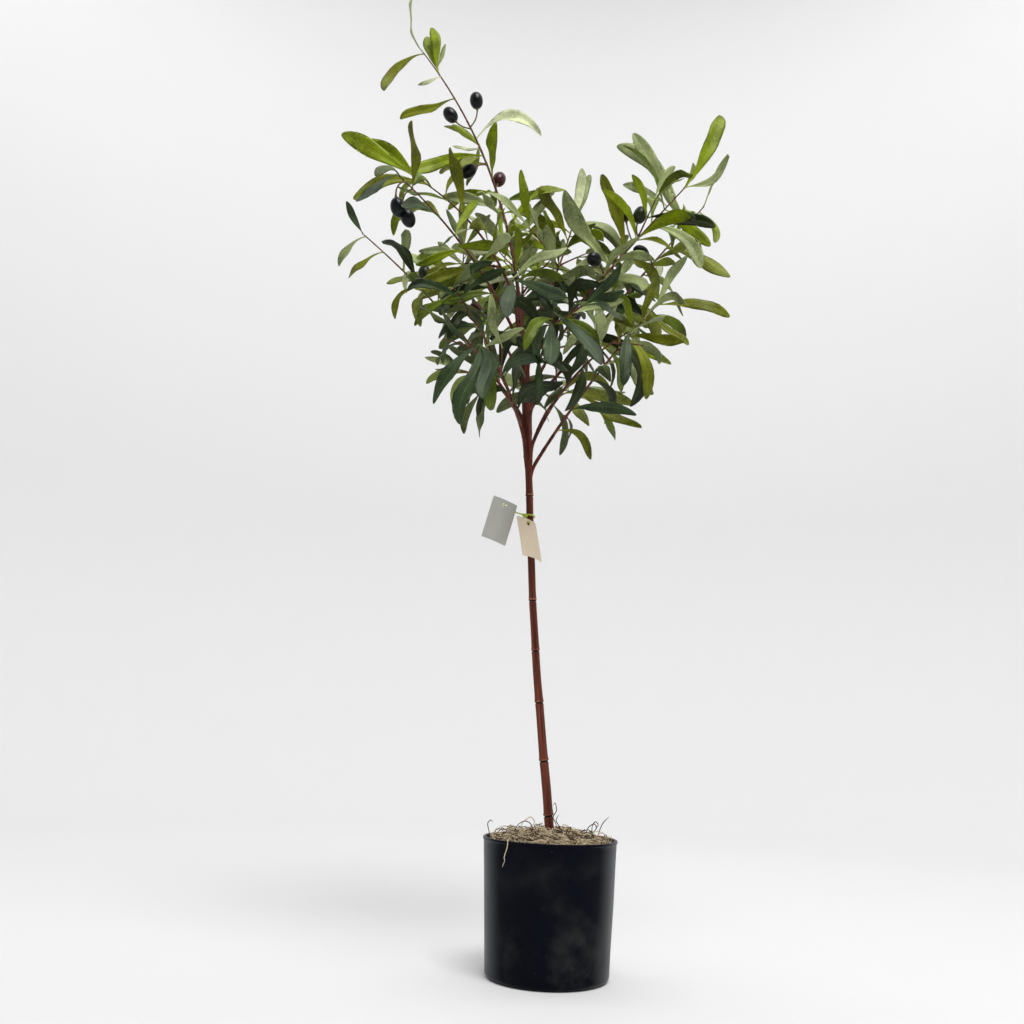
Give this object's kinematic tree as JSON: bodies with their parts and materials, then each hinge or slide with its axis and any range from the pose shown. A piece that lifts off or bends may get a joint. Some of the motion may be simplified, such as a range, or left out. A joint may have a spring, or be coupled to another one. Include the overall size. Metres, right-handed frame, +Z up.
{
  "type": "artificial olive tree in a pot",
  "caption": "Artificial olive tree: a slim leaning cane with a spreading crown of leafy sprays and dark olives, set in dry moss in a round black plant pot.",
  "frame": {"origin": "centre of the pot's flat underside, on the surface the pot stands on", "axes": "+Z up, -Y the front of the tree, +X to the right seen from the front"},
  "size_m": [0.4137, 0.3174, 0.9983],
  "materials": {
    "pot_plastic": "matte black moulded plastic, scuffed",
    "dry_moss": "dry matted moss and straw",
    "cane_bark": "satin red-brown moulded plastic",
    "leaf_fabric": "printed leaf cloth, soft satin",
    "tie_plastic": "thin green plastic-covered wire",
    "tag_card_grey": "smooth grey card",
    "tag_card_cream": "smooth cream card"
  },
  "bodies": {
    "root": {"pot": "pot_plastic", "moss_fill": "dry_moss", "trunk": "cane_bark", "foliage_leader": "leaf_fabric", "bough_left_high": "cane_bark", "foliage_left_high": "leaf_fabric", "bough_left_low": "cane_bark", "foliage_left_low": "leaf_fabric", "bough_right_high": "cane_bark", "foliage_right_high": "leaf_fabric", "bough_right_back": "cane_bark", "foliage_right_back": "leaf_fabric", "bough_right_low": "cane_bark", "foliage_right_low": "leaf_fabric", "bough_left_olive": "cane_bark", "foliage_left_olive": "leaf_fabric", "bough_crown_top": "cane_bark", "foliage_crown_top": "leaf_fabric", "bough_left_fork": "cane_bark", "foliage_left_fork": "leaf_fabric", "bough_right_front": "cane_bark", "foliage_right_front": "leaf_fabric", "bough_front_left": "cane_bark", "foliage_front_left": "leaf_fabric", "bough_front_right": "cane_bark", "foliage_front_right": "leaf_fabric", "bough_front_high": "cane_bark", "foliage_front_high": "leaf_fabric", "bough_back_right": "cane_bark", "foliage_back_right": "leaf_fabric", "bough_back_left": "cane_bark", "foliage_back_left": "leaf_fabric", "bough_back_high": "cane_bark", "foliage_back_high": "leaf_fabric", "bough_back_low_right": "cane_bark", "foliage_back_low_right": "leaf_fabric", "bough_back_low_left": "cane_bark", "foliage_back_low_left": "leaf_fabric", "tie": "tie_plastic", "tag_left": "tag_card_grey", "tag_right": "tag_card_cream"}
  },
  "joints": []
}
